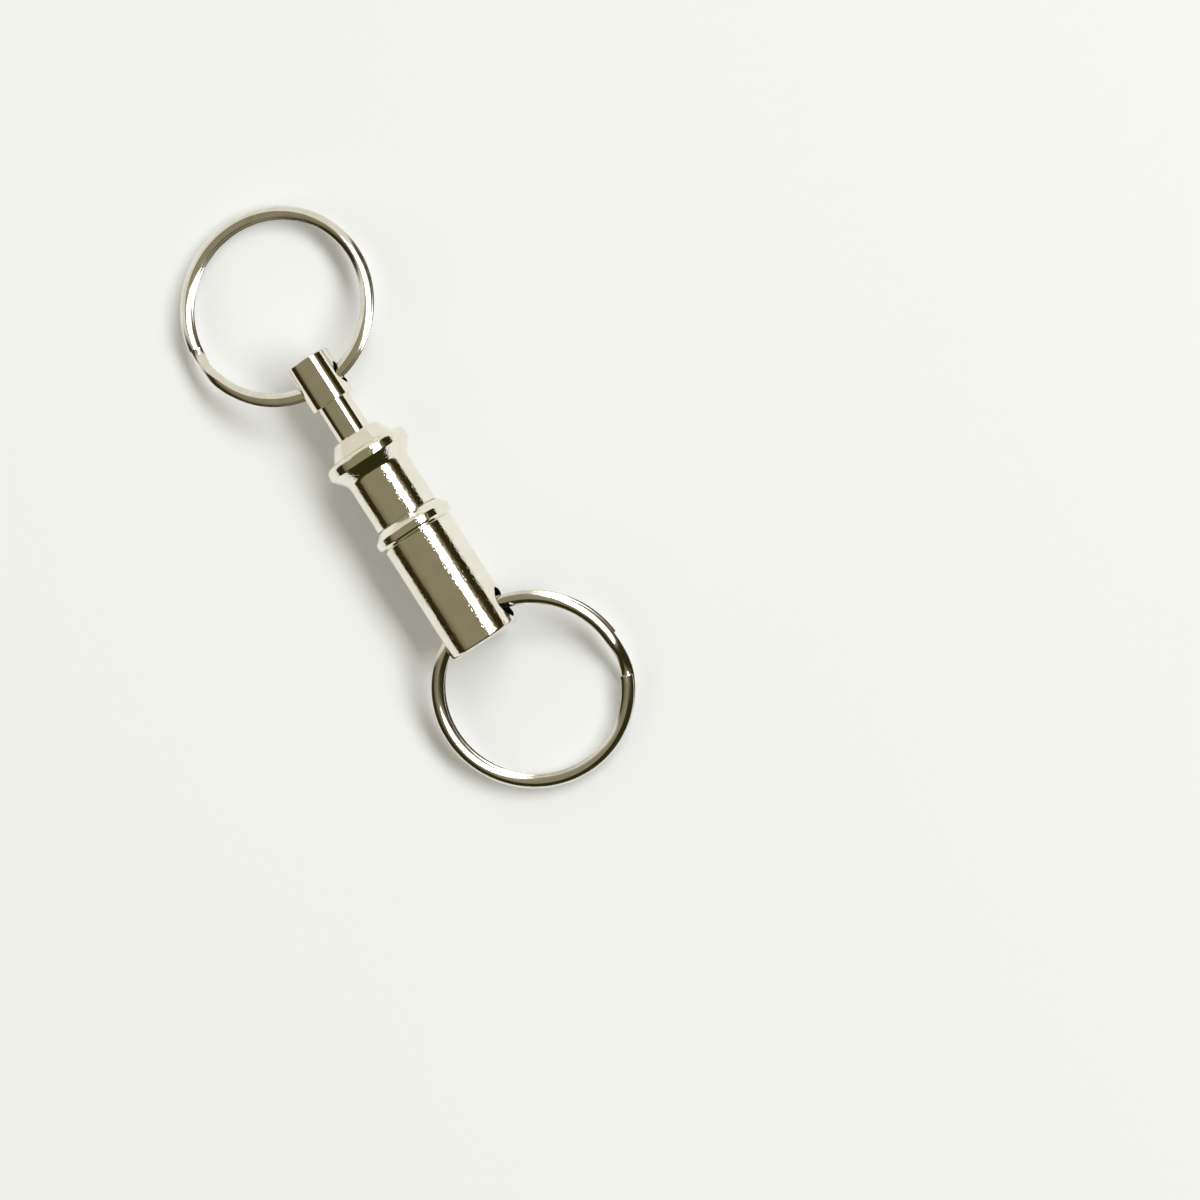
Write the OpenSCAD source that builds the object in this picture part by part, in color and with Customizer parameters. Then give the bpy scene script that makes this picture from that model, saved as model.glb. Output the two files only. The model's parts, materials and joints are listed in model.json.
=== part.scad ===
// Pull-apart key holder: a ringed plunger is locked in a ringed barrel by three balls.
// Pushing the flanged sleeve towards the barrel lets the balls move out and frees the plunger.
// The coupling lies along X with its plunger towards +X, and rests on its flange and rings.
// Stations along the coupling are counted from the end face of the barrel.

/* [Plunger] */
// Diameter of the shank
shank_d = 4.4; // [4.1:0.05:4.7]
// Length of shank that shows between the sleeve and the head
shank_show_len = 4.7; // [3.5:0.1:6.5]
// Diameter of the head
head_d = 5.8; // [5.3:0.05:6.6]
// Length of the head
head_len = 6.3; // [5.6:0.1:8]
// Diameter of the cross hole in the head
head_hole_d = 3.1; // [2.9:0.05:3.5]
// Distance from the head's end face to the centre of its hole
head_hole_from_end = 3.5; // [2.9:0.05:3.9]
// Radius of the head's outer edge
head_edge_r = 0.25; // [0.15:0.05:0.6]
// Depth of the lock groove
groove_depth = 0.4; // [0.3:0.02:0.46]
// Radius at the tip of the plunger
tip_r = 0.9; // [0.4:0.05:1.1]

/* [Release sleeve] */
// Diameter of the waist
waist_d = 8.4; // [8.1:0.05:8.7]
// Length of the waist, with the part inside the collar
waist_len = 6; // [5.5:0.1:7]
// Radius of the hollow curve between waist and flange
flange_fillet_r = 1; // [0.6:0.1:1.4]
// Diameter of the flange
flange_d = 11.1; // [10.8:0.1:12.5]
// Slope of the flange's back, in degrees
flange_slope = 38; // [34:1:45]
// Length of the flange's cylindrical band
flange_band_len = 0.9; // [0.6:0.05:1.2]
// Radius of the flange's edge towards the waist
flange_back_r = 0.35; // [0.2:0.05:0.6]
// Radius of the flange's edge towards the nose
flange_front_r = 0.85; // [0.6:0.05:0.95]
// Diameter of the nose where it meets the flange
nose_base_d = 8.8; // [8.6:0.05:9.2]
// Diameter of the nose at its mouth
nose_mouth_d = 6.3; // [6:0.05:6.6]
// Radius of the edge round the mouth
nose_edge_r = 0.4; // [0.2:0.05:0.45]
// Length of the nose
nose_len = 2; // [1.8:0.05:2.6]
// Length of the lip that guides the shank at the mouth
lip_len = 0.7; // [0.5:0.05:0.8]
// Thickness of the skirt that runs in the collar
skirt_wall = 0.4; // [0.36:0.02:0.5]

/* [Retaining collar] */
// Length of the collar that shows
collar_len = 2.45; // [2.3:0.05:3]
// Diameter of the collar's bead
collar_d = 10.4; // [10.1:0.05:10.8]
// Radius of the bead's edge towards the sleeve
collar_front_r = 0.7; // [0.4:0.05:0.8]
// Radius of the bead's edge towards the barrel
collar_back_r = 0.4; // [0.2:0.05:0.5]
// Thickness of the floor inside the collar
collar_floor_t = 0.25; // [0.2:0.05:0.4]
// Length of the tail that is pressed into the barrel
tail_len = 1.4; // [1:0.1:2]
// Thickness of the tail
tail_wall = 0.3; // [0.25:0.01:0.35]

/* [Barrel] */
// Length of the barrel
barrel_len = 15.8; // [15:0.1:18]
// Thickness of the barrel round the collar's tail
barrel_wall = 0.45; // [0.35:0.05:0.7]
// Length of the solid end that carries the ring
barrel_end_len = 6; // [5.5:0.1:6.5]
// Diameter of the cross hole in the solid end
barrel_hole_d = 4.2; // [4.1:0.05:4.5]
// Distance from the end face to the centre of the cross hole
barrel_hole_from_end = 2.9; // [2.7:0.05:3.2]
// Radius of the barrel's end edge
barrel_edge_r = 0.45; // [0.2:0.05:0.6]
// Radius of the barrel's edge at the seam
barrel_rim_r = 0.25; // [0.1:0.05:0.3]
// Angle by which the barrel lies rolled about its axis
barrel_roll = 2; // [0:1:20]

/* [Ball cage] */
// Thickness of the cage round the balls
cage_wall = 1.2; // [1.14:0.02:1.3]
// Thickness of the cage's foot
cage_foot_t = 0.9; // [0.7:0.05:1.2]
// Length of the rim beyond the ball holes
cage_rim_len = 0.4; // [0.3:0.05:0.5]

/* [Balls] */
// Diameter of a ball
ball_d = 1.5; // [1.44:0.02:1.6]
// How far a ball moves out while the plunger is drawn
ball_travel = 1.26; // [1.2:0.01:1.3]

/* [Travel] */
// How far the sleeve slides towards the barrel
sleeve_travel = 2; // [1.9:0.05:2.1]
// How far the plunger is drawn until it has left the sleeve
plunger_travel = 8.4; // [8:0.1:8.8]

/* [Return spring] */
// Diameter of the spring's wire
spring_wire_d = 0.5; // [0.4:0.02:0.54]
// Turns of the spring
spring_turns = 5; // [4:0.5:5.5]

/* [Stop ring] */
// Diameter of the stop ring's wire
stop_wire_d = 0.44; // [0.4:0.02:0.5]
// Angle left open between the stop ring's ends
stop_gap_angle = 40; // [20:5:60]

/* [Split rings] */
// Outside diameter of a split ring
ring_d = 25; // [24:0.1:26]
// Width of the ring's band
ring_band_w = 1.6; // [1.4:0.05:1.7]
// Thickness of one layer of the ring
ring_layer_t = 0.95; // [0.8:0.05:1]
// Angle over which the band steps from one layer to the other
ring_step_angle = 26; // [18:1:34]
// Angle by which the lower ring lies turned in its hole
lower_ring_yaw = 6; // [0:1:6]

/* [Fits] */
// Radial clearance of a running fit
run_fit = 0.05; // [0.03:0.01:0.06]
// Clearance at the end of a stroke
end_gap = 0.06; // [0.04:0.01:0.1]
// Clearance between the plunger's tip and the mouth when it is drawn
drawn_gap = 0.8; // [0.5:0.1:1]

/* [Hidden] */
$fn = 96;
arc_steps = 10;
// Overrun of every cut
over = 1;

// Small edges
edge = 0.15;
bevel = 0.2;
head_neck_fillet = 0.15;
groove_flat = 0.2;
groove_end_len = 0.7;
seam_w = 0.12;
seam_depth = 0.25;
collar_slope = 45;
ball_below_nose = 1;

// Radii, worked out from the shank outwards
shank_r = shank_d / 2;
groove_r = shank_r - groove_depth;
ball_r = ball_d / 2;
ball_seat_r = groove_r + run_fit + ball_r;
ball_hole_r = ball_r + run_fit;
cage_bore_r = shank_r + run_fit;
cage_r = cage_bore_r + cage_wall;
land_r = max(cage_r, ball_seat_r + ball_r) + run_fit;
skirt_r = land_r + skirt_wall;
tail_bore_r = skirt_r + run_fit;
tail_r = tail_bore_r + tail_wall;
barrel_r = tail_r + barrel_wall;
waist_r = waist_d / 2;
collar_bore_r = waist_r + run_fit;
collar_r = collar_d / 2;
flange_r = flange_d / 2;
nose_base_r = nose_base_d / 2;
nose_mouth_r = nose_mouth_d / 2;
lip_bore_r = shank_r + 2 * run_fit;
head_r = head_d / 2;
stop_wire_r = stop_wire_d / 2;
stop_ring_mid_r = skirt_r - run_fit;
barrel_bore_r = stop_ring_mid_r + stop_wire_r + run_fit;
spring_wire_r = spring_wire_d / 2;
spring_mid_r = (land_r + skirt_r) / 2;
cage_stem_r = spring_mid_r - spring_wire_r - 4 * run_fit;

// Stations, worked out from the end face towards the head
collar_floor_x = barrel_len + collar_floor_t;
collar_top_x = barrel_len + collar_len;
seam_top_x = barrel_len + seam_w;
tail_x = barrel_len - tail_len;
waist_x = collar_floor_x + sleeve_travel + end_gap;
fillet_x = waist_x + waist_len;
flange_back_x = fillet_x + (flange_fillet_r + flange_back_r) * sin(flange_slope)
    + (flange_r - waist_r - (flange_fillet_r + flange_back_r) * (1 - cos(flange_slope))) / tan(flange_slope);
flange_front_x = flange_back_x + flange_band_len;
nose_x = flange_front_x + flange_front_r;
mouth_x = nose_x + nose_len;
collar_front_x = collar_top_x - collar_front_r * sin(collar_slope)
    - (collar_r - collar_bore_r - edge - collar_front_r * (1 - cos(collar_slope))) / tan(collar_slope);
ball_x = nose_x - ball_below_nose - sleeve_travel;
cage_foot_x = barrel_end_len + end_gap;
cage_stem_x = cage_foot_x + cage_foot_t;
cage_top_x = ball_x + ball_hole_r + cage_rim_len;
stop_ring_x = tail_x - stop_wire_r - end_gap;
skirt_x = stop_ring_x - stop_wire_d - end_gap;
cage_step_x = stop_ring_x;
chamber_top_x = cage_top_x + sleeve_travel + end_gap;
tip_x = mouth_x - sleeve_travel - plunger_travel + drawn_gap;
head_x = mouth_x + shank_show_len;
head_end_x = head_x + head_len;
head_hole_x = head_end_x - head_hole_from_end;

// The groove's ramp and the sleeve's cone follow the balls, which move out at a steady rate
groove_slope = ball_travel / plunger_travel;
groove_ramp_x = ball_x - groove_depth / groove_slope;
cone_slope = ball_travel / sleeve_travel;
cone_angle = atan(cone_slope);
chamber_mid_r = ball_seat_r + ball_travel;
cone_x = ball_x + (land_r - ball_seat_r - ball_hole_r / cos(cone_angle)) / cone_slope;
ball_angles = [90, 210, 330];

// Rings: the band runs through the middle of its hole, bowed by its own curve
ring_r = ring_d / 2;
ring_mid_r = ring_r - ring_band_w / 2;
ring_layer_gap = 0.05;
ring_layer_z = (ring_layer_t + ring_layer_gap) / 2;
ring_layer_steps = 64;
ring_step_steps = 8;
ring_section_sides = 12;
upper_step_at = 85;
lower_step_at = -120;
function bow(half_width) = ring_mid_r - sqrt(pow(ring_mid_r, 2) - pow(half_width, 2));
upper_ring_offset = ring_mid_r - bow(head_r) / 2;
lower_ring_offset = ring_mid_r - bow(barrel_r) / 2;

// Placing: the flange touches the ground, and each ring hangs down until it touches too
axis_z = flange_r;
function about_x(v, a) = [v.x, v.y * cos(a) - v.z * sin(a), v.y * sin(a) + v.z * cos(a)];
function about_y(v, a) = [v.x * cos(a) + v.z * sin(a), v.y, v.z * cos(a) - v.x * sin(a)];
function about_z(v, a) = [v.x * cos(a) - v.y * sin(a), v.x * sin(a) + v.y * cos(a), v.z];
function turned(v, roll, yaw, tilt) = about_x(about_z(about_y(v, tilt), yaw), roll);
function reach(part) = ring_mid_r * sqrt(1 - part * part) + ring_layer_z * abs(part)
    + norm([ring_band_w / 2 * sqrt(1 - part * part), ring_layer_t / 2 * part]);
function ring_low(offset, roll, yaw, tilt) = axis_z + turned([offset, 0, 0], roll, yaw, tilt).z
    - reach(turned([0, 0, 1], roll, yaw, tilt).z);
function find_tilt(offset, roll, yaw, flat, steep, step = 0) = step > 40 ? flat
    : ring_low(offset, roll, yaw, (flat + steep) / 2) > 0
    ? find_tilt(offset, roll, yaw, (flat + steep) / 2, steep, step + 1)
    : find_tilt(offset, roll, yaw, flat, (flat + steep) / 2, step + 1);
upper_tilt = find_tilt(upper_ring_offset, 0, 0, 0, 60);
lower_tilt = find_tilt(-lower_ring_offset, -barrel_roll, lower_ring_yaw, 0, -60);
upper_ring_at = [head_hole_x, 0, axis_z] + turned([upper_ring_offset, 0, 0], 0, 0, upper_tilt);
upper_ring_up = turned([0, 0, 1], 0, 0, upper_tilt);
lower_ring_at = [barrel_hole_from_end, 0, axis_z]
    + turned([-lower_ring_offset, 0, 0], -barrel_roll, lower_ring_yaw, lower_tilt);
lower_ring_up = turned([0, 0, 1], -barrel_roll, lower_ring_yaw, lower_tilt);
lower_swing_axis = turned([0, 1, 0], -barrel_roll, 0, 0);

// The origin is under the middle of the whole object
low_x = lower_ring_at.x - reach(lower_ring_up.x);
high_x = upper_ring_at.x + reach(upper_ring_up.x);
low_y = min(lower_ring_at.y - reach(lower_ring_up.y), upper_ring_at.y - reach(upper_ring_up.y));
high_y = max(lower_ring_at.y + reach(lower_ring_up.y), upper_ring_at.y + reach(upper_ring_up.y));
origin = [(low_x + high_x) / 2, (low_y + high_y) / 2, 0];

// Points of an arc, from angle a to angle b
function arc(mid, r, a, b) = [for (i = [0:arc_steps])
    mid + r * [cos(a + (b - a) * i / arc_steps), sin(a + (b - a) * i / arc_steps)]];

// Stands the coupling's parts on their axis
module on_axis() translate([0, 0, axis_z] - origin) children();

// Turns an outline of [radius, station] points about the coupling's axis
module turning(outline) on_axis() rotate([0, 90, 0]) rotate_extrude() polygon(outline);

// Solid through a row of sections with equally many points, closed at both ends
module sweep(sections) {
    sides = len(sections[0]);
    last = (len(sections) - 1) * sides;
    skin = [for (i = [0:len(sections) - 2]) for (k = [0:sides - 1])
        let (a = i * sides + k, b = i * sides + (k + 1) % sides)
        each [[a, b, b + sides], [a, b + sides, a + sides]]];
    ends = [for (k = [1:sides - 2]) each [[0, k + 1, k], [last, last + k, last + k + 1]]];
    polyhedron([for (section = sections) each section], concat(skin, ends));
}

// A cross hole with broken edges, through a round body
module cross_hole(x, body_r, hole_r, roll) translate([x, 0, 0]) rotate([90 - roll, 0, 0]) {
    cylinder(h = 2 * (body_r + over), r = hole_r, center = true);
    for (end = [0, 180]) rotate([end, 0, 0]) translate([0, 0, body_r - bevel])
        cylinder(h = bevel + over, r1 = hole_r, r2 = hole_r + bevel + over);
}

// Turned brass tube with a solid end; the blind bore holds the cage, the spring and the skirt
module barrel() color("silver") difference() {
    turning(concat(
        [[0, 0]],
        arc([barrel_r - barrel_edge_r, barrel_edge_r], barrel_edge_r, -90, 0),
        arc([barrel_r - barrel_rim_r, barrel_len - barrel_rim_r], barrel_rim_r, 0, 90),
        [[tail_r, barrel_len], [tail_r, tail_x], [barrel_bore_r, tail_x], [barrel_bore_r, barrel_end_len],
         [0, barrel_end_len]]));
    on_axis() cross_hole(barrel_hole_from_end, barrel_r, barrel_hole_d / 2, barrel_roll);
}

// Beaded collar whose tail is pressed into the barrel; it guides the sleeve and stops the stop ring
module retaining_collar() color("gainsboro") turning(concat(
    [[tail_bore_r, tail_x], [tail_r, tail_x], [tail_r, barrel_len], [barrel_r - seam_depth, barrel_len],
     [barrel_r - seam_depth, seam_top_x]],
    arc([collar_r - collar_back_r, seam_top_x + collar_back_r], collar_back_r, -90, 0),
    arc([collar_r - collar_front_r, collar_front_x], collar_front_r, 0, collar_slope),
    [[collar_bore_r + edge, collar_top_x], [collar_bore_r, collar_top_x - edge],
     [collar_bore_r, collar_floor_x], [tail_bore_r, collar_floor_x]]));

// Flanged sleeve: nose, flange, waist and skirt turned in one piece, with a cone inside for the balls
module release_sleeve() color("silver") difference() {
    turning(concat(
        [[land_r, skirt_x], [skirt_r, skirt_x], [skirt_r, waist_x], [waist_r - edge, waist_x],
         [waist_r, waist_x + edge]],
        arc([waist_r + flange_fillet_r, fillet_x], flange_fillet_r, 180, 180 - flange_slope),
        arc([flange_r - flange_back_r, flange_back_x], flange_back_r, -flange_slope, 0),
        arc([flange_r - flange_front_r, flange_front_x], flange_front_r, 0, 90),
        [[nose_base_r, nose_x]],
        arc([nose_mouth_r - nose_edge_r, mouth_x - nose_edge_r], nose_edge_r,
            atan((nose_base_r - nose_mouth_r) / nose_len), 90),
        [[lip_bore_r + edge, mouth_x], [lip_bore_r, mouth_x - edge], [lip_bore_r, mouth_x - lip_len],
         [land_r, chamber_top_x], [land_r, ball_x + sleeve_travel + ball_hole_r]],
        arc([chamber_mid_r, ball_x + sleeve_travel], ball_hole_r, 90, -cone_angle),
        [[land_r, cone_x]]));
    on_axis() translate([stop_ring_x, 0, 0]) rotate([0, 90, 0]) rotate_extrude()
        translate([stop_ring_mid_r, 0]) circle(r = stop_wire_r);
}

// Snap ring in the skirt's groove; it meets the collar's tail and keeps the sleeve in
module stop_ring() color("dimgray") on_axis() translate([stop_ring_x, 0, 0]) rotate([0, 90, 0])
    rotate_extrude(angle = 360 - stop_gap_angle) translate([stop_ring_mid_r, 0]) circle(r = stop_wire_r);

// Coil spring between the cage's foot and the skirt
spring_rings_per_turn = 16;
spring_sides = 6;
spring_low_x = cage_stem_x + spring_wire_r + end_gap;
spring_high_x = skirt_x - spring_wire_r - end_gap;
spring_rings = ceil(spring_turns * spring_rings_per_turn);
function spring_at(i) = [spring_low_x + (spring_high_x - spring_low_x) * i / spring_rings,
    spring_mid_r * cos(360 * spring_turns * i / spring_rings),
    spring_mid_r * sin(360 * spring_turns * i / spring_rings)];
function spring_out(i) = [0, cos(360 * spring_turns * i / spring_rings),
    sin(360 * spring_turns * i / spring_rings)];
function spring_section(i) = [for (k = [0:spring_sides - 1]) spring_at(i)
    + spring_wire_r * (cos(360 * k / spring_sides) * spring_out(i)
                       + sin(360 * k / spring_sides) * [1, 0, 0])];
// Least gap between turns, measured over points at least half a turn apart
spring_gap = min([for (i = [0:spring_rings]) for (j = [i + spring_rings_per_turn / 2:1:spring_rings])
    norm(spring_at(i) - spring_at(j))]) - spring_wire_d;
echo(spring_gap = spring_gap);
module return_spring() color("darkgray") on_axis() sweep([for (i = [0:spring_rings]) spring_section(i)]);

// Tube that holds the balls round the plunger and turns with it in the barrel
module ball_cage() color("tan") difference() {
    turning([[cage_bore_r, cage_foot_x], [barrel_bore_r - run_fit, cage_foot_x],
             [barrel_bore_r - run_fit, cage_stem_x], [cage_stem_r, cage_stem_x], [cage_stem_r, cage_step_x],
             [cage_r, cage_step_x + cage_r - cage_stem_r], [cage_r, cage_top_x - bevel],
             [cage_r - bevel, cage_top_x], [cage_bore_r + edge, cage_top_x],
             [cage_bore_r, cage_top_x - edge]]);
    for (a = ball_angles) on_axis() translate([ball_x, 0, 0]) rotate([a, 0, 0])
        cylinder(h = cage_r + over, r = ball_hole_r);
}

// One of three steel balls in the cage
module lock_ball(i) color("lightgray") on_axis() translate([ball_x, 0, 0]) rotate([ball_angles[i], 0, 0])
    translate([0, 0, ball_seat_r]) sphere(r = ball_r);

// Turned plunger: round tip, ramped lock groove, shank and drilled head
module plunger() color("silver") difference() {
    turning(concat(
        [[0, tip_x]],
        arc([shank_r - tip_r, tip_x + tip_r], tip_r, -90, 0),
        [[shank_r, groove_ramp_x], [groove_r, ball_x], [groove_r, ball_x + groove_flat],
         [shank_r, ball_x + groove_flat + groove_end_len], [shank_r, head_x],
         [head_r - head_neck_fillet, head_x]],
        arc([head_r - head_neck_fillet, head_x + head_neck_fillet], head_neck_fillet, -90, 0),
        arc([head_r - head_edge_r, head_end_x - head_edge_r], head_edge_r, 0, 90),
        [[0, head_end_x]]));
    on_axis() cross_hole(head_hole_x, head_r, head_hole_d / 2, 0);
}

// Oval outline of the band across one layer, as [across, up] points round its middle
band_outline = [for (i = [0:ring_section_sides - 1]) let (a = 360 * i / ring_section_sides)
    [ring_band_w / 2 * cos(a), ring_layer_t / 2 * sin(a)]];

// Height of the band's middle at an angle counted from its low end, and its section there
function band_height(a) = a <= 360 - ring_step_angle ? -ring_layer_z : a >= 360 ? ring_layer_z
    : -ring_layer_z * cos(180 * (a - 360 + ring_step_angle) / ring_step_angle);
function band_section(a) = [for (p = band_outline)
    [(ring_mid_r + p.x) * cos(a), (ring_mid_r + p.x) * sin(a), band_height(a) + p.y]];
function spread(from, to, steps) = [for (i = [0:steps]) from + (to - from) * i / steps];

// Oval spring-steel band wound twice round, with one step where it changes layer
module split_ring(step_at) rotate([0, 0, step_at + ring_step_angle]) sweep([for (a = concat(
    spread(0, 360 - ring_step_angle, ring_layer_steps - 1),
    spread(360 - ring_step_angle * (1 - 1 / ring_step_steps), 360 - ring_step_angle / ring_step_steps,
           ring_step_steps - 2),
    spread(360, 720 - ring_step_angle, ring_layer_steps - 1))) band_section(a)]);

// Ring in the plunger's head
module upper_split_ring() color("silver") translate([head_hole_x, 0, axis_z] - origin)
    rotate([0, upper_tilt, 0]) translate([upper_ring_offset, 0, 0]) split_ring(upper_step_at);

// Ring in the barrel's end
module lower_split_ring() color("silver") translate([barrel_hole_from_end, 0, axis_z] - origin)
    rotate([-barrel_roll, 0, 0]) rotate([0, 0, lower_ring_yaw]) rotate([0, lower_tilt, 0])
    translate([-lower_ring_offset, 0, 0]) split_ring(lower_step_at);

echo(origin = origin, axis_z = axis_z, ball_x = ball_x, barrel_r = barrel_r);
echo(head_hole_x = head_hole_x, barrel_hole_from_end = barrel_hole_from_end);
echo(upper_tilt = upper_tilt, upper_ring_at = upper_ring_at - origin, upper_ring_up = upper_ring_up);
echo(lower_tilt = lower_tilt, lower_ring_at = lower_ring_at - origin, lower_ring_up = lower_ring_up);
echo(lower_swing_axis = lower_swing_axis, low_x = low_x, high_x = high_x, low_y = low_y, high_y = high_y);
echo(spring_from = cage_stem_x, spring_to = skirt_x, mouth_x = mouth_x, head_end_x = head_end_x);

barrel();
retaining_collar();
release_sleeve();
stop_ring();
return_spring();
ball_cage();
lock_ball(0);  // lock_ball_1
lock_ball(1);  // lock_ball_2
lock_ball(2);  // lock_ball_3
plunger();
upper_split_ring();
lower_split_ring();
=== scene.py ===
"""Looks of the pull-apart key holder: a nickel-plated ball-lock coupling with a split ring at each end."""

import json
import math

import bmesh
import bpy
from mathutils import Matrix, Vector


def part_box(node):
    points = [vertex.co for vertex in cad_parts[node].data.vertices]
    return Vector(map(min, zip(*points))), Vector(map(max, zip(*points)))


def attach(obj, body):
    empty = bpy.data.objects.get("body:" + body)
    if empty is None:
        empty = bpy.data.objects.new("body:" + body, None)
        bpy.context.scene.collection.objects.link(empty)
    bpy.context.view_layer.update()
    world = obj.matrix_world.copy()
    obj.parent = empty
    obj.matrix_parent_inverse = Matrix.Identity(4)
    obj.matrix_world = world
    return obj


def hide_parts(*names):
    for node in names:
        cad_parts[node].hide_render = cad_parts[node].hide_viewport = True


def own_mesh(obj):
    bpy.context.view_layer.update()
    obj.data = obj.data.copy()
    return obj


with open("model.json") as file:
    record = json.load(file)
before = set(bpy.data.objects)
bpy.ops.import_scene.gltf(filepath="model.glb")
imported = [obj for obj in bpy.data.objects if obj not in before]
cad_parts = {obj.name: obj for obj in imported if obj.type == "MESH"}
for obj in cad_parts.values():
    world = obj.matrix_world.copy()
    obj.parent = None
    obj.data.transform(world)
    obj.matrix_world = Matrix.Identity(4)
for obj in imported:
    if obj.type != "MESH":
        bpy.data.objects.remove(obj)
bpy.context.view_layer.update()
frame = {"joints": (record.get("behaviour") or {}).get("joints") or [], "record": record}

# Barrel: turned brass tube with a solid, cross-drilled end that carries the lower ring.
# It is tumbled before it is nickel plated, so its plating is bright but lightly pitted.
# It is one piece, closed at the ring's end, with the collar pressed into the other end.
MM = 0.001
joints = {joint["name"]: joint for joint in frame["joints"]}
axis_y, axis_z = joints["swivel"]["pos_m"][1:]
end_face_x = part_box("barrel")[0].x
barrel_radius = (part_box("barrel")[1].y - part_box("barrel")[0].y) / 2
barrel_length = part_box("barrel")[1].x - end_face_x
barrel_edge = 0.45 * MM
barrel_rim = 0.25 * MM
barrel_bore = 4.12 * MM
barrel_bottom = 6.0 * MM
collar_seat = 4.25 * MM
collar_seat_depth = 1.4 * MM
barrel_hole_radius = 2.1 * MM
hole_bevel = 0.2 * MM
small_edge = 0.12 * MM
pole = 0.001 * MM
sharp_angle = math.radians(40)


def arc(middle, radius, start, end, steps=10):
    """Points (radius, station) of a round or oval stretch; angles in degrees, radius one or two numbers."""
    wide, high = radius if isinstance(radius, tuple) else (radius, radius)
    turns = [math.radians(start + (end - start) * i / steps) for i in range(steps + 1)]
    return [(middle[0] + wide * math.cos(a), middle[1] + high * math.sin(a)) for a in turns]


def rounded(corners, steps=6):
    """An outline whose corners (x, y, edge radius) are rounded; a corner without a radius stays sharp."""
    outline = []
    for i, corner in enumerate(corners):
        if len(corner) == 2:
            outline.append(corner)
            continue
        here = Vector(corner[:2])
        before = (Vector(corners[i - 1][:2]) - here).normalized()
        after = (Vector(corners[(i + 1) % len(corners)][:2]) - here).normalized()
        half = before.angle(after) / 2
        centre = here + (before + after).normalized() * corner[2] / math.sin(half)
        ends = []
        for side in (before, after):
            touch = here + side * corner[2] / math.tan(half) - centre
            ends.append(math.degrees(math.atan2(touch.y, touch.x)))
        sweep = (ends[1] - ends[0] + 180) % 360 - 180
        outline += arc(centre, corner[2], ends[0], ends[0] + sweep, steps)
    return outline


def lathe(outline, start_x=end_face_x, sides=240):
    """A closed mesh turned about the coupling's axis from an outline of (radius, station) points."""
    shape = bmesh.new()
    rows = []
    for radius, station in outline:
        count = sides if radius > pole else 1
        rows.append([shape.verts.new((start_x + station,
                                      axis_y + radius * math.cos(math.tau * i / sides),
                                      axis_z + radius * math.sin(math.tau * i / sides)))
                     for i in range(count)])
    for one, two in zip(rows, rows[1:] + rows[:1]):
        if len(one) == len(two) == 1:
            continue
        for i in range(sides):
            k = (i + 1) % sides
            corners = [one[i % len(one)], one[k % len(one)], two[k % len(two)], two[i % len(two)]]
            shape.faces.new(list(dict.fromkeys(corners)))
    bmesh.ops.recalc_face_normals(shape, faces=shape.faces)
    mesh = bpy.data.meshes.new("turned")
    shape.to_mesh(mesh)
    shape.free()
    return mesh


def drill(place, along, hole_radius, body_radius):
    """A cutter for a cross hole with broken edges, centred at place and lying along a direction."""
    far = body_radius * 1.5
    far_radius = hole_radius + far - body_radius + hole_bevel
    outline = [(0, -far), (far_radius, -far), (hole_radius, hole_bevel - body_radius),
               (hole_radius, body_radius - hole_bevel), (far_radius, far), (0, far)]
    mesh = lathe(outline, start_x=0, sides=96)
    mesh.transform(Matrix.Translation((0, -axis_y, -axis_z)))
    turn = Vector((1, 0, 0)).rotation_difference(Vector(along)).to_matrix().to_4x4()
    mesh.transform(Matrix.Translation(place) @ turn)
    return mesh


def finished(name, mesh, body, node, material, cut=None, edge=0):
    """Cuts a piece, breaks its edges, shades it by face size, and sets it in place of its CAD node."""
    piece = bpy.data.objects.new(name, mesh)
    bpy.context.scene.collection.objects.link(piece)
    mesh.shade_smooth()
    mesh.set_sharp_from_angle(angle=sharp_angle)
    if cut:
        cutter = bpy.data.objects.new("cutter", cut)
        bpy.context.scene.collection.objects.link(cutter)
        hole = piece.modifiers.new("hole", "BOOLEAN")
        hole.operation = "DIFFERENCE"
        hole.object = cutter
    if edge:
        broken = piece.modifiers.new("broken_edges", "BEVEL")
        broken.limit_method = "ANGLE"
        broken.angle_limit = sharp_angle
        broken.width = edge
        broken.segments = 2
    shading = piece.modifiers.new("shading", "WEIGHTED_NORMAL")
    shading.weight = 100
    shading.keep_sharp = True
    bpy.context.view_layer.update()
    baked = bpy.data.meshes.new_from_object(piece.evaluated_get(bpy.context.evaluated_depsgraph_get()))
    piece.modifiers.clear()
    piece.data = baked
    if cut:
        bpy.data.objects.remove(cutter)
    baked.materials.clear()
    baked.materials.append(material)
    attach(piece, body)
    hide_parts(node)
    return piece


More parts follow.
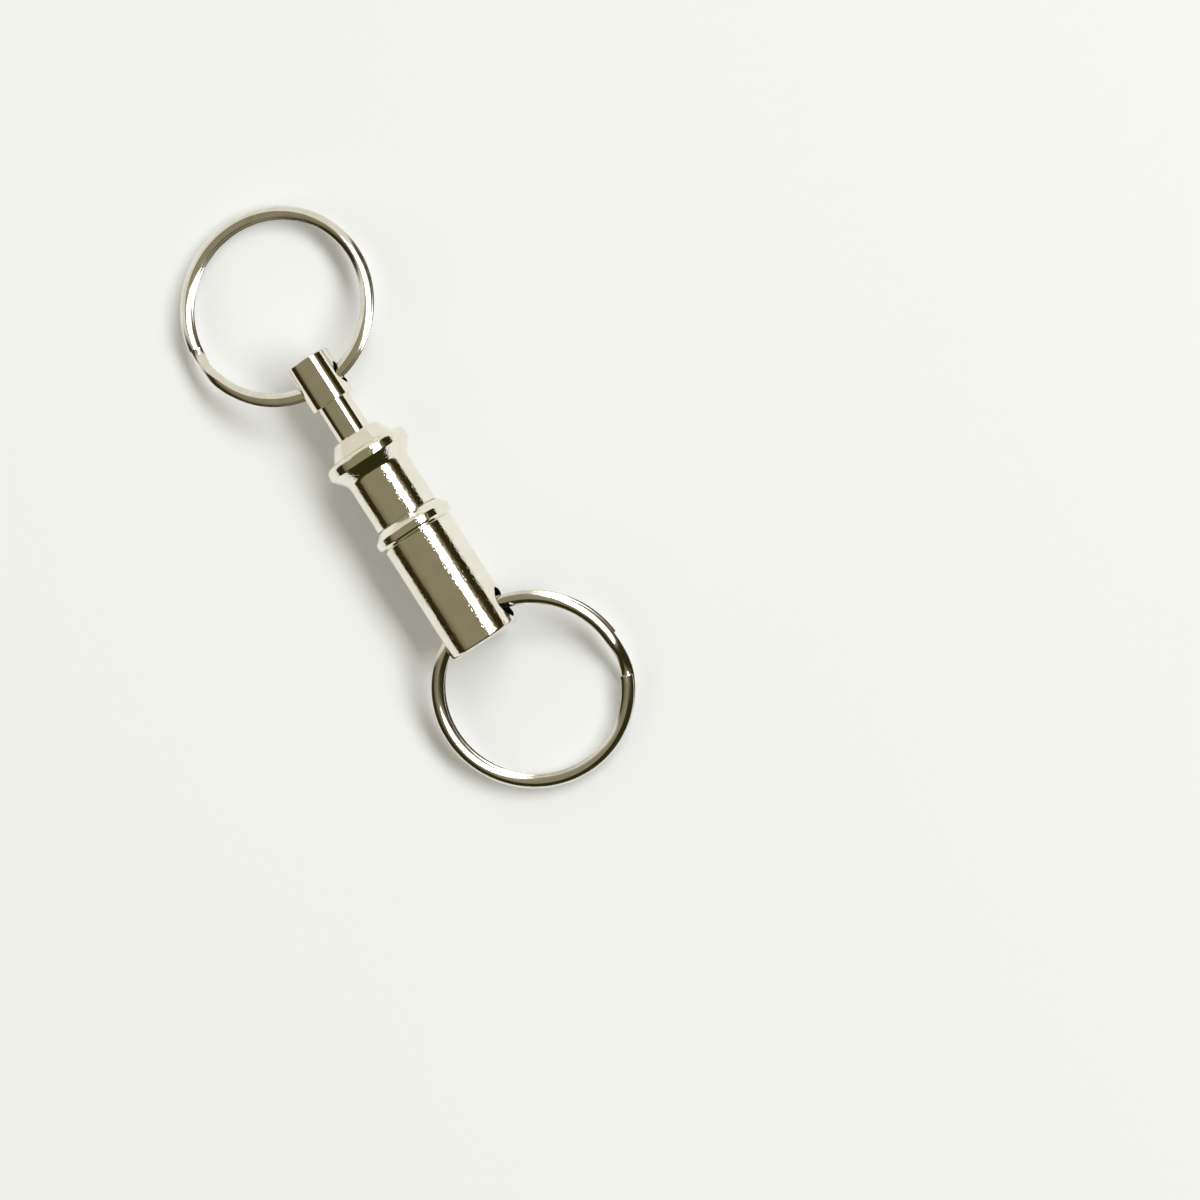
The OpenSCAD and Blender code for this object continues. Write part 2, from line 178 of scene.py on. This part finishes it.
class Finish:
    """A metal's material, built step by step from nodes on the object's own coordinates in metres."""

    def __init__(self, name, color):
        self.material = bpy.data.materials.new(name)
        self.material.use_nodes = True
        self.tree = self.material.node_tree
        self.shader = self.tree.nodes["Principled BSDF"]
        self.shader.inputs["Metallic"].default_value = 1
        self.shader.inputs["Base Color"].default_value = (*color, 1)
        self.place = self.tree.nodes.new("ShaderNodeTexCoord").outputs["Object"]
        self.normal = None

    def noise(self, size, detail=2, along=None):
        """Smooth noise with lumps of a real size; along gives a distance for noise in one direction."""
        made = self.tree.nodes.new("ShaderNodeTexNoise")
        made.inputs["Scale"].default_value = 1 / size
        made.inputs["Detail"].default_value = detail
        if along is None:
            self.tree.links.new(self.place, made.inputs["Vector"])
        else:
            made.noise_dimensions = "1D"
            self.tree.links.new(along, made.inputs["W"])
        return made.outputs["Fac"]

    def ranged(self, value, low, high, to_low, to_high):
        """The value's stretch from low to high, spread over another one."""
        made = self.tree.nodes.new("ShaderNodeMapRange")
        self.tree.links.new(value, made.inputs["Value"])
        for name, number in zip(("From Min", "From Max", "To Min", "To Max"), (low, high, to_low, to_high)):
            made.inputs[name].default_value = number
        return made.outputs["Result"]

    def roughness(self, value):
        self.tree.links.new(value, self.shader.inputs["Roughness"])

    def tint(self, value, clean, stained):
        """Colour that goes from clean to stained where the value goes from 0 to 1."""
        made = self.tree.nodes.new("ShaderNodeMix")
        made.data_type = "RGBA"
        made.inputs["A"].default_value = (*clean, 1)
        made.inputs["B"].default_value = (*stained, 1)
        self.tree.links.new(value, made.inputs["Factor"])
        self.tree.links.new(made.outputs["Result"], self.shader.inputs["Base Color"])

    def relief(self, height, depth):
        """Raises the surface by up to a real depth where the height goes from 0 to 1."""
        made = self.tree.nodes.new("ShaderNodeBump")
        made.inputs["Distance"].default_value = depth
        self.tree.links.new(height, made.inputs["Height"])
        if self.normal:
            self.tree.links.new(self.normal, made.inputs["Normal"])
        self.normal = made.outputs["Normal"]
        self.tree.links.new(self.normal, self.shader.inputs["Normal"])

    def turning_distance(self):
        """Distance along the axis plus distance from it, in which a lathe's marks repeat on every face."""
        apart = self.tree.nodes.new("ShaderNodeSeparateXYZ")
        self.tree.links.new(self.place, apart.inputs["Vector"])
        flat = self.tree.nodes.new("ShaderNodeVectorMath")
        flat.operation = "MULTIPLY_ADD"
        flat.inputs[1].default_value = (0, 1, 1)
        flat.inputs[2].default_value = (0, -axis_y, -axis_z)
        self.tree.links.new(self.place, flat.inputs[0])
        out = self.tree.nodes.new("ShaderNodeVectorMath")
        out.operation = "LENGTH"
        self.tree.links.new(flat.outputs["Vector"], out.inputs[0])
        total = self.tree.nodes.new("ShaderNodeMath")
        self.tree.links.new(apart.outputs["X"], total.inputs[0])
        self.tree.links.new(out.outputs["Value"], total.inputs[1])
        return total.outputs["Value"]


def nickel(name, polish, wave_depth, pit_depth, mark_depth):
    """Bright nickel plating on turned brass: dents and pits from tumbling, lathe marks and handling haze."""
    metal = Finish(name, nickel_color)
    haze = metal.noise(size=2.4 * MM, detail=3)
    metal.tint(metal.ranged(haze, 0.35, 0.75, 0, 0.6), nickel_color, nickel_stain)
    metal.roughness(metal.ranged(haze, 0.3, 0.7, polish, polish * 1.8))
    metal.relief(metal.noise(size=0.045 * MM, detail=1, along=metal.turning_distance()), mark_depth)
    metal.relief(metal.noise(size=0.7 * MM, detail=1), wave_depth)
    metal.relief(metal.ranged(metal.noise(size=0.24 * MM, detail=1), 0.28, 0.5, 0, 1), pit_depth)
    return metal.material


nickel_color = (0.90, 0.88, 0.80)
nickel_stain = (0.80, 0.76, 0.63)
pitted_nickel = nickel("pitted_nickel", polish=0.03, wave_depth=0.014 * MM, pit_depth=0.006 * MM,
                       mark_depth=0.0004 * MM)
smooth_nickel = nickel("smooth_nickel", polish=0.025, wave_depth=0.004 * MM, pit_depth=0.001 * MM,
                       mark_depth=0.0003 * MM)
barrel_outline = rounded([
    (0, 0), (barrel_radius, 0, barrel_edge), (barrel_radius, barrel_length, barrel_rim),
    (collar_seat, barrel_length), (collar_seat, barrel_length - collar_seat_depth),
    (barrel_bore, barrel_length - collar_seat_depth), (barrel_bore, barrel_bottom), (0, barrel_bottom)])
barrel_hole = drill(joints["lower_ring_swing"]["pos_m"], joints["lower_ring_swing"]["axis"],
                    barrel_hole_radius, barrel_radius)
finished("barrel_tube", lathe(barrel_outline), "barrel", "barrel", pitted_nickel, barrel_hole)

# Collar: a beaded nickel-plated brass bush. Its tail is a press fit in the barrel's open end,
# down to a narrow dark seam, and keeps the sleeve's stop ring inside.
collar_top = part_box("retaining_collar")[1].x - end_face_x
collar_radius = (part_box("retaining_collar")[1].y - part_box("retaining_collar")[0].y) / 2
collar_front_edge = 0.4 * MM
collar_chamfer = (0.18 * MM, 0.22 * MM)
collar_seam = 0.15 * MM
collar_seam_radius = barrel_radius - 0.35 * MM
collar_bore = 4.25 * MM
collar_floor = barrel_length + 0.25 * MM
collar_tail_bore = 3.95 * MM
shoulder_low = collar_top - 1.2 * MM
collar_outline = rounded([
    (collar_tail_bore, barrel_length - collar_seat_depth), (collar_seat, barrel_length - collar_seat_depth),
    (collar_seat, barrel_length), (collar_seam_radius, barrel_length),
    (collar_seam_radius, barrel_length + collar_seam),
    (collar_radius - collar_chamfer[0], barrel_length + collar_seam),
    (collar_radius, barrel_length + collar_seam + collar_chamfer[1], small_edge),
    (collar_radius, shoulder_low, collar_front_edge), (collar_bore, collar_top, small_edge),
    (collar_bore, collar_floor), (collar_tail_bore, collar_floor)])
finished("collar_bead", lathe(collar_outline), "barrel", "retaining_collar", pitted_nickel)

# Sleeve: nose, flange, waist and skirt turned from one brass bar and nickel plated.
# It slides in the collar; its cone inside holds the balls in, and its skirt meets the spring.
sleeve_low, sleeve_high = (corner.x - end_face_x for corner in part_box("release_sleeve"))
flange_radius = (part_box("release_sleeve")[1].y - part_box("release_sleeve")[0].y) / 2
waist_radius = 4.2 * MM
waist_low = 18.11 * MM
flange_back = 26.45 * MM
flange_nose = 28.05 * MM
flange_slope = 38
flange_hollow = 1.0 * MM
flange_back_edge = 0.35 * MM
flange_nose_edge = 0.85 * MM
slope_low = flange_back - (flange_radius - waist_radius) / math.tan(math.radians(flange_slope))
relief_width = 0.2 * MM
relief_depth = 0.15 * MM
nose_base_radius = 4.4 * MM
nose_mouth_radius = 3.15 * MM
nose_edge = 0.4 * MM
mouth_radius = 2.3 * MM
mouth_depth = 0.7 * MM
skirt_radius = 3.9 * MM
land_radius = 3.5 * MM
chamber_top = 28.31 * MM
pocket = (3.86 * MM, 27.05 * MM)
pocket_radius = 0.8 * MM
cone_angle = 32.2
cone_low = 24.98 * MM
sleeve_outline = rounded([
    (land_radius, sleeve_low), (skirt_radius, sleeve_low), (skirt_radius, waist_low),
    (waist_radius, waist_low, small_edge), (waist_radius, slope_low, flange_hollow),
    (flange_radius, flange_back, flange_back_edge), (flange_radius, flange_nose, flange_nose_edge),
    (nose_base_radius + relief_width, flange_nose),
    (nose_base_radius + relief_width, flange_nose - relief_depth),
    (nose_base_radius, flange_nose - relief_depth), (nose_mouth_radius, sleeve_high, nose_edge),
    (mouth_radius, sleeve_high, small_edge), (mouth_radius, sleeve_high - mouth_depth),
    (land_radius, chamber_top), (land_radius, pocket[1] + pocket_radius)], steps=10)
sleeve_outline += arc(pocket, pocket_radius, 90, -cone_angle, steps=16) + [(land_radius, cone_low)]
finished("release_sleeve_shell", lathe(sleeve_outline), "sleeve", "release_sleeve",
         pitted_nickel)

# Plunger: a turned pin, smoother than the rest, with a round tip, a ramped lock groove and a
# cross-drilled head that carries the upper ring. It pulls out of the sleeve when the balls let go.
plunger_low, plunger_high = (corner.x - end_face_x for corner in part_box("plunger"))
head_radius = (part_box("plunger")[1].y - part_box("plunger")[0].y) / 2
head_length = 6.3 * MM
head_low = plunger_high - head_length
head_edge = 0.25 * MM
head_neck_edge = 0.15 * MM
shank_radius = 2.2 * MM
tip_radius = 0.9 * MM
groove_radius = 1.8 * MM
groove_low = 22.38 * MM
groove_bottom = 25.05 * MM
groove_flat = 0.2 * MM
groove_end = 0.7 * MM
head_hole_radius = 1.55 * MM
plunger_outline = rounded([
    (0, plunger_low), (shank_radius, plunger_low, tip_radius), (shank_radius, groove_low),
    (groove_radius, groove_bottom), (groove_radius, groove_bottom + groove_flat),
    (shank_radius, groove_bottom + groove_flat + groove_end), (shank_radius, head_low),
    (head_radius, head_low, head_neck_edge), (head_radius, plunger_high, head_edge), (0, plunger_high)])
head_hole = drill(joints["upper_ring_swing"]["pos_m"], joints["upper_ring_swing"]["axis"],
                  head_hole_radius, head_radius)
finished("plunger_pin", lathe(plunger_outline), "plunger", "plunger", smooth_nickel,
         head_hole)

# Split rings: a band of spring steel with a low ridge, wound twice round on itself, nickel plated.
# Each is threaded through its hole; the band steps up a layer at the place where it is pried open.
# The two turns don't lie quite on one centre, so that one peeps out beside the other.


class Shaping:
    """A Geometry Nodes tree that makes a mesh from named sizes and a material."""

    def __init__(self, name, sizes):
        self.tree = bpy.data.node_groups.new(name, "GeometryNodeTree")
        self.tree.interface.new_socket("Geometry", in_out="OUTPUT", socket_type="NodeSocketGeometry")
        for size in sizes:
            self.tree.interface.new_socket(size, in_out="INPUT", socket_type="NodeSocketFloat")
        self.tree.interface.new_socket("Metal", in_out="INPUT", socket_type="NodeSocketMaterial")
        self.size = self.tree.nodes.new("NodeGroupInput").outputs

    def node(self, kind, mode=None, **links):
        """Adds a node whose inputs are named in links; a value is another node's output or a plain one."""
        made = self.tree.nodes.new(kind)
        if mode:
            made.mode = mode
        for name, value in links.items():
            self.connect(made.inputs[name.replace("_", " ")], value)
        return made.outputs[0]

    def math(self, operation, *values):
        """One step of arithmetic."""
        made = self.tree.nodes.new("ShaderNodeMath")
        made.operation = operation
        for socket, value in zip(made.inputs, values):
            self.connect(socket, value)
        return made.outputs["Value"]

    def connect(self, socket, value):
        if isinstance(value, bpy.types.NodeSocket):
            self.tree.links.new(value, socket)
        else:
            socket.default_value = value

    def path(self, points, position):
        """A line of so many points, each moved to a position worked out from its place along the line."""
        line = self.node("GeometryNodeCurvePrimitiveLine")
        line = self.node("GeometryNodeResampleCurve", Curve=line, Count=points)
        return self.node("GeometryNodeSetPosition", Geometry=line, Position=position)

    def section(self, wide, high, sides, ridge=0.0):
        """An oval of that width and height; ridge, from 0 to 1, draws it in towards a diamond."""
        circle = self.node("GeometryNodeCurvePrimitiveCircle", Resolution=sides, Radius=1.0)
        split = self.tree.nodes.new("ShaderNodeSeparateXYZ")
        self.connect(split.inputs["Vector"], self.node("GeometryNodeInputPosition"))
        drawn = []
        for place, size in ((split.outputs["X"], wide), (split.outputs["Y"], high)):
            pull = self.math("POWER", self.math("ABSOLUTE", place), ridge)
            half = self.math("MULTIPLY", size, 0.5)
            drawn.append(self.math("MULTIPLY", self.math("MULTIPLY", place, pull), half))
        point = self.node("ShaderNodeCombineXYZ", X=drawn[0], Y=drawn[1])
        return self.node("GeometryNodeSetPosition", Geometry=circle, Position=point)

    def swept(self, path, section):
        """Sweeps a section along the path, and ends the tree."""
        band = self.node("GeometryNodeCurveToMesh", Curve=path, Profile_Curve=section, Fill_Caps=True)
        band = self.node("GeometryNodeRealizeInstances", Geometry=band)
        band = self.node("GeometryNodeSetMaterial", Geometry=band, Material=self.size["Metal"])
        end = self.tree.nodes.new("NodeGroupOutput")
        self.tree.links.new(band, end.inputs["Geometry"])

    def made(self, values, metal):
        """The mesh that the tree makes from these sizes."""
        holder = bpy.data.objects.new("holder", bpy.data.meshes.new("holder"))
        bpy.context.scene.collection.objects.link(holder)
        shaping = holder.modifiers.new("shaping", "NODES")
        shaping.node_group = self.tree
        for item in self.tree.interface.items_tree:
            if item.in_out == "INPUT":
                shaping[item.identifier] = metal if item.name == "Metal" else float(values[item.name])
        bpy.context.view_layer.update()
        mesh = bpy.data.meshes.new_from_object(holder.evaluated_get(bpy.context.evaluated_depsgraph_get()))
        bpy.data.objects.remove(holder)
        return mesh


band_sizes = {"Middle Radius": 11.7 * MM, "Band Width": 1.6 * MM, "Layer Thickness": 0.95 * MM,
              "Section Ridge": 0.65, "Layer Gap": 0.05 * MM, "Step Angle": math.radians(26),
              "Turn Shift": 0.05 * MM, "Shift Angle": 0}
band_points = 720
band_sides = 48
band_edge = 0.07 * MM
band = Shaping("split_ring_band", band_sizes)
place_along = band.node("GeometryNodeSplineParameter")
whole_turn = band.math("SUBTRACT", 2 * math.tau, band.size["Step Angle"])
turn = band.math("MULTIPLY", place_along, whole_turn)
step_start = band.math("SUBTRACT", math.tau, band.size["Step Angle"])
stepped = band.tree.nodes.new("ShaderNodeMapRange")
for socket, value in zip(stepped.inputs, (turn, step_start, math.tau, 0.0, math.pi)):
    band.connect(socket, value)
layer_height = band.math("ADD", band.size["Layer Thickness"], band.size["Layer Gap"])
layer_rise = band.math("MULTIPLY", layer_height, -0.5)
layer = band.math("COSINE", stepped.outputs["Result"])
aside = band.math("MULTIPLY", band.size["Turn Shift"], layer)
aside_x = band.math("MULTIPLY", aside, band.math("COSINE", band.size["Shift Angle"]))
aside_y = band.math("MULTIPLY", aside, band.math("SINE", band.size["Shift Angle"]))
band_point = band.node(
    "ShaderNodeCombineXYZ",
    X=band.math("ADD", aside_x, band.math("MULTIPLY", band.size["Middle Radius"], band.math("COSINE", turn))),
    Y=band.math("ADD", aside_y, band.math("MULTIPLY", band.size["Middle Radius"], band.math("SINE", turn))),
    Z=band.math("MULTIPLY", layer_rise, layer))
band_path = band.node("GeometryNodeSetCurveNormal", "Z_UP", Curve=band.path(band_points, band_point))
band_section = band.section(band.size["Band Width"], band.size["Layer Thickness"], band_sides,
                            band.size["Section Ridge"])
band.swept(band_path, band_section)


def ring_steel():
    """Bright nickel on drawn spring steel, with faint haze and the slight waves of winding."""
    metal = Finish("ring_steel", ring_color)
    haze = metal.noise(size=1.6 * MM, detail=3)
    metal.tint(metal.ranged(haze, 0.4, 0.75, 0, 0.6), ring_color, ring_stain)
    metal.roughness(metal.ranged(haze, 0.3, 0.7, 0.07, 0.16))
    metal.relief(metal.noise(size=0.3 * MM, detail=2), depth=0.003 * MM)
    return metal.material


ring_color = (0.88, 0.87, 0.83)
ring_stain = (0.74, 0.71, 0.62)
ring_metal = ring_steel()
# Angles in a ring's plane, counted from the direction towards the plunger's end: where the step begins,
# and from the step's end, the way in which one turn stands out.
ring_turns = {"upper": (85, -54), "lower": (-120, -29)}
loops = {mount["name"]: mount for mount in frame["record"]["mounts"]}
for side, (step_at, shift_to) in ring_turns.items():
    centre = Vector(loops[side + "_ring_loop"]["pos_m"])
    up = Vector(loops[side + "_ring_loop"]["axis"]).normalized()
    hole = Vector(joints[side + "_ring_swing"]["pos_m"])
    ahead = (centre - hole).normalized()
    if ahead.x < 0:
        ahead.negate()
    placing = Matrix((ahead, up.cross(ahead), up)).transposed().to_4x4()
    ring = band.made(band_sizes | {"Shift Angle": math.radians(shift_to)}, ring_metal)
    step_turn = Matrix.Rotation(math.radians(step_at) + band_sizes["Step Angle"], 4, "Z")
    ring.transform(Matrix.Translation(centre) @ placing @ step_turn)
    finished(side + "_ring_band", ring, side + "_ring", side + "_split_ring", ring_metal,
             edge=band_edge)

# Return spring and stop ring: both wound from drawn spring wire and left bare.
# The spring stands on the cage's foot in the barrel and pushes the sleeve out, until the stop ring,
# which is snapped on the sleeve's skirt, meets the collar's tail.
wire_points = 240
wire_sides = 12
wire_edge = 0.04 * MM
coil = Shaping("wire_coil", ("Middle Radius", "Wire", "Turns", "From", "To"))
coil_place = coil.node("GeometryNodeSplineParameter")
coil_turn = coil.math("MULTIPLY", coil_place, coil.math("MULTIPLY", coil.size["Turns"], math.tau))
coil_run = coil.math("SUBTRACT", coil.size["To"], coil.size["From"])
coil_point = coil.node(
    "ShaderNodeCombineXYZ",
    X=coil.math("ADD", coil.size["From"], coil.math("MULTIPLY", coil_place, coil_run)),
    Y=coil.math("MULTIPLY", coil.size["Middle Radius"], coil.math("COSINE", coil_turn)),
    Z=coil.math("MULTIPLY", coil.size["Middle Radius"], coil.math("SINE", coil_turn)))
coil.swept(coil.path(wire_points, coil_point), coil.section(coil.size["Wire"], coil.size["Wire"], wire_sides))


def plain_metal(name, color, stain, rough, grain):
    """A bare metal with a fine grain, used inside."""
    metal = Finish(name, color)
    haze = metal.noise(size=1.2 * MM, detail=3)
    metal.tint(metal.ranged(haze, 0.4, 0.7, 0, 1), color, stain)
    metal.roughness(metal.ranged(haze, 0.3, 0.7, rough, rough * 1.5))
    metal.relief(metal.noise(size=0.06 * MM, detail=2), grain)
    return metal.material


wire_steel = plain_metal("wire_steel", (0.50, 0.49, 0.47), (0.36, 0.34, 0.32), rough=0.25, grain=0.002 * MM)
wires = {"return_spring": ("barrel", 0, {"Middle Radius": 3.7 * MM, "Wire": 0.5 * MM, "Turns": 5}),
         "stop_ring": ("sleeve", -90, {"Middle Radius": 3.85 * MM, "Wire": 0.44 * MM, "Turns": 320 / 360})}
for node, (body, start_angle, sizes) in wires.items():
    low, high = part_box(node)
    ends = {"From": low.x + sizes["Wire"] / 2, "To": high.x - sizes["Wire"] / 2}
    mesh = coil.made(sizes | ends, wire_steel)
    start_turn = Matrix.Rotation(math.radians(start_angle), 4, "X")
    mesh.transform(Matrix.Translation((0, axis_y, axis_z)) @ start_turn)
    piece = finished(node + "_wire", mesh, body, node, wire_steel, edge=wire_edge)
    if node == "return_spring":
        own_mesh(piece)

# Ball cage and lock balls: a turned brass tube, left bare, with three cross holes that each hold a
# hardened and ground steel ball. The cage turns in the barrel with the plunger; the balls slide in its holes.
ball_steel = plain_metal("ball_steel", (0.72, 0.72, 0.72), (0.66, 0.65, 0.64), rough=0.04, grain=0.0002 * MM)
turned_brass = plain_metal("turned_brass", (0.80, 0.62, 0.30), (0.66, 0.48, 0.22), rough=0.22,
                           grain=0.002 * MM)
cage_low, cage_high = (corner.x - end_face_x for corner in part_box("ball_cage"))
cage_bore = 2.25 * MM
cage_foot_radius = (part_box("ball_cage")[1].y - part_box("ball_cage")[0].y) / 2
cage_foot = 0.9 * MM
cage_stem_radius = 3.25 * MM
cage_radius = 3.45 * MM
cage_step = 14.12 * MM
cage_bevel = 0.2 * MM
ball_hole_radius = 0.8 * MM
ball_hole_start = -0.7 * MM
ball_hole_end = 2 * MM
ball_radius = (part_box("lock_ball_1")[1].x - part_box("lock_ball_1")[0].x) / 2
ball_rows = 32
ball_sides = 64
cage_outline = [
    (cage_bore, cage_low), (cage_foot_radius, cage_low), (cage_foot_radius, cage_low + cage_foot),
    (cage_stem_radius, cage_low + cage_foot), (cage_stem_radius, cage_step),
    (cage_radius, cage_step + cage_radius - cage_stem_radius), (cage_radius, cage_high - cage_bevel),
    (cage_radius - cage_bevel, cage_high), (cage_bore, cage_high)]
ball_hole_outline = [(0, ball_hole_start), (ball_hole_radius, ball_hole_start),
                     (ball_hole_radius, ball_hole_end), (0, ball_hole_end)]
cage_holes = bmesh.new()
for number in (1, 2, 3):
    node = f"lock_ball_{number}"
    low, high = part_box(node)
    centre = (low + high) / 2
    outward = Vector(joints[f"ball_{number}_slide"]["axis"])
    turn_out = Vector((1, 0, 0)).rotation_difference(outward).to_matrix().to_4x4()
    to_place = Matrix.Translation(centre) @ turn_out @ Matrix.Translation((0, -axis_y, -axis_z))
    hole = lathe(ball_hole_outline, start_x=0, sides=ball_sides)
    hole.transform(to_place)
    cage_holes.from_mesh(hole)
    ball = lathe(arc((0, 0), ball_radius, -90, 90, steps=ball_rows), start_x=0, sides=ball_sides)
    ball.transform(to_place)
    finished(f"{node}_steel", ball, f"ball_{number}", node, ball_steel)
cage_cut = bpy.data.meshes.new("cage_holes")
cage_holes.to_mesh(cage_cut)
finished("ball_cage_tube", lathe(cage_outline, sides=160), "cage", "ball_cage", turned_brass,
         cage_cut)

# Floor: a matt, nearly white table top that the holder lies on, wider than any view of it.
# It is the stage and no piece of the object, but the plating mirrors it along its lower sides.
floor_half = 4.0
floor_mesh = bpy.data.meshes.new("floor")
floor_mesh.from_pydata([(-floor_half, -floor_half, 0), (floor_half, -floor_half, 0),
                        (floor_half, floor_half, 0), (-floor_half, floor_half, 0)], [], [(0, 1, 2, 3)])
floor = bpy.data.objects.new("floor", floor_mesh)
bpy.context.scene.collection.objects.link(floor)
floor_paint = bpy.data.materials.new("floor_paint")
floor_paint.use_nodes = True
floor_shader = floor_paint.node_tree.nodes["Principled BSDF"]
floor_shader.inputs["Base Color"].default_value = (0.88, 0.90, 0.925, 1)
floor_shader.inputs["Roughness"].default_value = 0.9
floor_shader.inputs["Specular IOR Level"].default_value = 0.2
floor_mesh.materials.append(floor_paint)

# Light: a long soft strip above one side, which draws the bright line on the plating and the shadow
# beside the holder, and a weaker band where it fades outwards. A fill from the other side lifts the
# shadows; the metal doesn't mirror it.
lamp_height = 2.4
strip_length = 4.1
# Near and far edge of each band, in degrees from straight above the holder, and its radiance.
strip_bands = {"strip_light": (31, 47, 6.4), "strip_fade": (47, 53, 1.06)}
fill_aside = 2.6
fill_size = 3.0
fill_radiance = 0.72
watts_per_radiance = 4
lamps = {}
for name, (near_angle, far_angle, radiance) in strip_bands.items():
    near_edge = lamp_height * math.tan(math.radians(near_angle))
    far_edge = lamp_height * math.tan(math.radians(far_angle))
    middle = (0, -(near_edge + far_edge) / 2, lamp_height)
    lamps[name] = (middle, strip_length, far_edge - near_edge, radiance)
lamps["fill_light"] = ((0, fill_aside, lamp_height), fill_size, fill_size, fill_radiance)
for name, (place, length, width, radiance) in lamps.items():
    lamp_data = bpy.data.lights.new(name, "AREA")
    lamp_data.shape = "RECTANGLE"
    lamp_data.size = length
    lamp_data.size_y = width
    lamp_data.energy = radiance * watts_per_radiance * length * width
    lamp = bpy.data.objects.new(name, lamp_data)
    lamp.location = place
    if name == "fill_light":
        lamp.rotation_euler.x = -math.atan2(lamp.location.y, lamp_height)
        lamp.visible_glossy = False
    bpy.context.scene.collection.objects.link(lamp)

# Room: what the plating mirrors beside floor and lamps. Its walls are dark and its ceiling is olive;
# beyond the plunger's end it is pale up to some height, and beyond the barrel's end it is nearly black.
room = bpy.data.worlds.new("room")
bpy.context.scene.world = room
room.use_nodes = True
room_nodes = room.node_tree.nodes
room_links = room.node_tree.links
direction = room_nodes.new("ShaderNodeTexCoord")
split_direction = room_nodes.new("ShaderNodeSeparateXYZ")
room_links.new(direction.outputs["Generated"], split_direction.inputs["Vector"])
room_ramp = room_nodes.new("ShaderNodeValToRGB")
room_links.new(split_direction.outputs["Z"], room_ramp.inputs["Fac"])
room_shades = [(0.0, (0.03, 0.02, 0.004)), (0.40, (0.03, 0.022, 0.006)), (0.52, (0.20, 0.17, 0.10)),
               (0.70, (0.26, 0.235, 0.15)), (1.0, (0.26, 0.235, 0.15))]
while len(room_ramp.color_ramp.elements) < len(room_shades):
    room_ramp.color_ramp.elements.new(0.5)
for stop, (height, shade) in zip(room_ramp.color_ramp.elements, room_shades):
    stop.position = height
    stop.color = (*shade, 1)


def room_blend(under, value, start, full, over):
    """Goes over from what is under to what is over while a value goes from start to full."""
    reach = room_nodes.new("ShaderNodeMapRange")
    reach.inputs["From Min"].default_value = start
    reach.inputs["From Max"].default_value = full
    room_links.new(value, reach.inputs["Value"])
    blend = room_nodes.new("ShaderNodeMix")
    blend.data_type = "RGBA"
    room_links.new(reach.outputs["Result"], blend.inputs["Factor"])
    room_links.new(under, blend.inputs["A"])
    if isinstance(over, tuple):
        blend.inputs["B"].default_value = (*over, 1)
    else:
        room_links.new(over, blend.inputs["B"])
    return blend.outputs["Result"]


# The pale end is a wedge: the further sideways, the nearer to the holder's own line it has to lie.
pale_shade = (0.77, 0.74, 0.64)
dark_shade = (0.026, 0.027, 0.007)
pale_narrowing = -0.55
sideways = room_nodes.new("ShaderNodeMath")
sideways.operation = "ABSOLUTE"
room_links.new(split_direction.outputs["Y"], sideways.inputs[0])
pale_wedge = room_nodes.new("ShaderNodeMath")
pale_wedge.operation = "MULTIPLY_ADD"
pale_wedge.inputs[1].default_value = pale_narrowing
room_links.new(sideways.outputs["Value"], pale_wedge.inputs[0])
room_links.new(split_direction.outputs["X"], pale_wedge.inputs[2])
plain_room = room_ramp.outputs["Color"]
pale_end = room_blend(plain_room, pale_wedge.outputs["Value"], start=0.0, full=0.12, over=pale_shade)
ceiling = room_blend(pale_end, split_direction.outputs["Z"], start=0.60, full=0.75, over=plain_room)
dark_end = room_blend(ceiling, split_direction.outputs["X"], start=-0.60, full=-0.80, over=dark_shade)
room_links.new(dark_end, room_nodes["Background"].inputs["Color"])

# Camera: above the table and leaning a little. It is turned so that the holder lies slantwise in the
# picture, with the plunger's end up and to the left.
aim = Vector((-23.75, -14.0, 5.55)) * MM
camera_distance = 0.6
camera_lean = (-2, -10)
frame_width = 146.3 * MM
camera_back = Vector([math.sin(math.radians(lean)) for lean in camera_lean] + [1]).normalized()
along = (Vector((1, 0, 0)) - camera_back * camera_back.x).normalized()
across = camera_back.cross(along)
holder_up = 0.842
holder_left = 0.5395
camera_right = -holder_left * along - holder_up * across
camera_up = holder_up * along - holder_left * across
camera_data = bpy.data.cameras.new("camera")
camera_data.angle = 2 * math.atan(frame_width / 2 / camera_distance)
camera = bpy.data.objects.new("camera", camera_data)
camera.matrix_world = (Matrix.Translation(aim + camera_back * camera_distance)
                       @ Matrix((camera_right, camera_up, camera_back)).transposed().to_4x4())
bpy.context.scene.collection.objects.link(camera)
bpy.context.scene.camera = camera
bpy.context.scene.view_settings.view_transform = "Standard"
